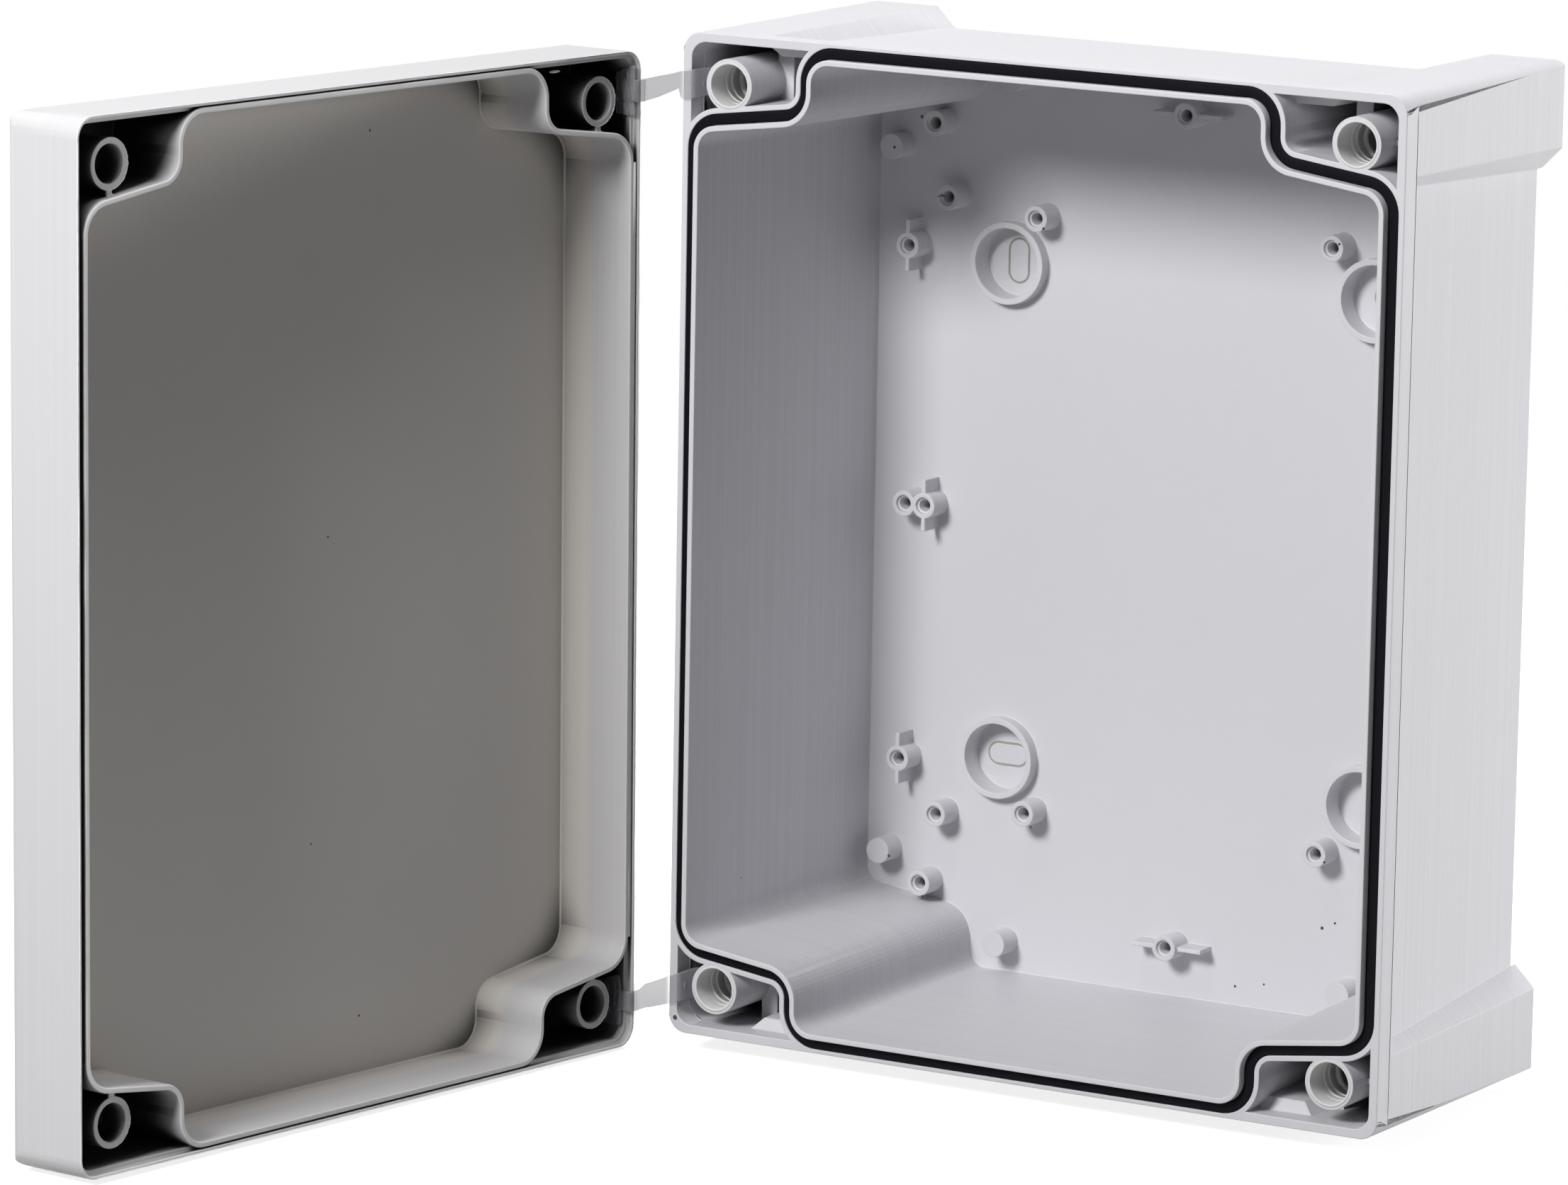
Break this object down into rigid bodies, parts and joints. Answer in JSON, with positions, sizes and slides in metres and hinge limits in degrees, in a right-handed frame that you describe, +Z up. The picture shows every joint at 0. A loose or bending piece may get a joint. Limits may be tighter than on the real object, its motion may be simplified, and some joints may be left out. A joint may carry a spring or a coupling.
{
  "type": "wall-mounted plastic housing",
  "caption": "Deep moulded plastic wall housing with an S-shaped sealed rim, open and hanging its lid on two soft straps at the left.",
  "frame": {"origin": "middle of the four wall-screw holes, in the plane that the feet press on the wall", "axes": "+Z up, +Y into the wall, +X to the right for someone facing the open tray"},
  "size_m": [0.2513, 0.2711, 0.2446],
  "materials": {
    "tray_plastic": "pale grey moulded plastic, fine satin",
    "lid_plastic": "pale grey moulded plastic, fine satin",
    "seal_rubber": "soft black seal",
    "strap_plastic": "cloudy natural plastic",
    "screw_plastic": "pale grey moulded plastic"
  },
  "bodies": {
    "tray": {"base": "tray_plastic", "gasket": "seal_rubber"},
    "straps": {"strap_top": "strap_plastic", "strap_bottom": "strap_plastic"},
    "lid": {"lid": "lid_plastic"},
    "screw_1": {"cover_screw_1": "screw_plastic"},
    "screw_2": {"cover_screw_2": "screw_plastic"},
    "screw_3": {"cover_screw_3": "screw_plastic"},
    "screw_4": {"cover_screw_4": "screw_plastic"}
  },
  "joints": [
    {"name": "strap_sag", "type": "slide", "parent": "tray", "child": "straps", "axis": [-0.0037, 0.0077, 1], "range_m": [-0.004, 0.0049]},
    {"name": "lid_swing", "type": "hinge", "parent": "straps", "child": "lid", "pos_m": [-0.1003, -0.0779, 0], "axis": [-0.0037, 0.0077, 1], "range_deg": [-80, 98.3], "deforming": ["strap_top", "strap_bottom"]},
    {"name": "screw_turn_1", "type": "hinge", "parent": "lid", "child": "screw_1", "pos_m": [-0.12867, -0.09142, 0.10299], "axis": [0.9895, -0.1443, 0.0125], "range_deg": [0, 90]},
    {"name": "screw_turn_2", "type": "hinge", "parent": "lid", "child": "screw_2", "pos_m": [-0.15249, -0.25469, 0.10355], "axis": [0.9895, -0.1443, 0.0125], "range_deg": [0, 90]},
    {"name": "screw_turn_3", "type": "hinge", "parent": "lid", "child": "screw_3", "pos_m": [-0.12611, -0.09253, -0.11319], "axis": [0.9895, -0.1443, 0.0125], "range_deg": [0, 90]},
    {"name": "screw_turn_4", "type": "hinge", "parent": "lid", "child": "screw_4", "pos_m": [-0.14993, -0.2558, -0.11263], "axis": [0.9895, -0.1443, 0.0125], "range_deg": [0, 90]}
  ],
  "couplings": [
    {"joint": "strap_sag", "follows": "lid_swing", "m_per_rad": 0.0028269}
  ]
}
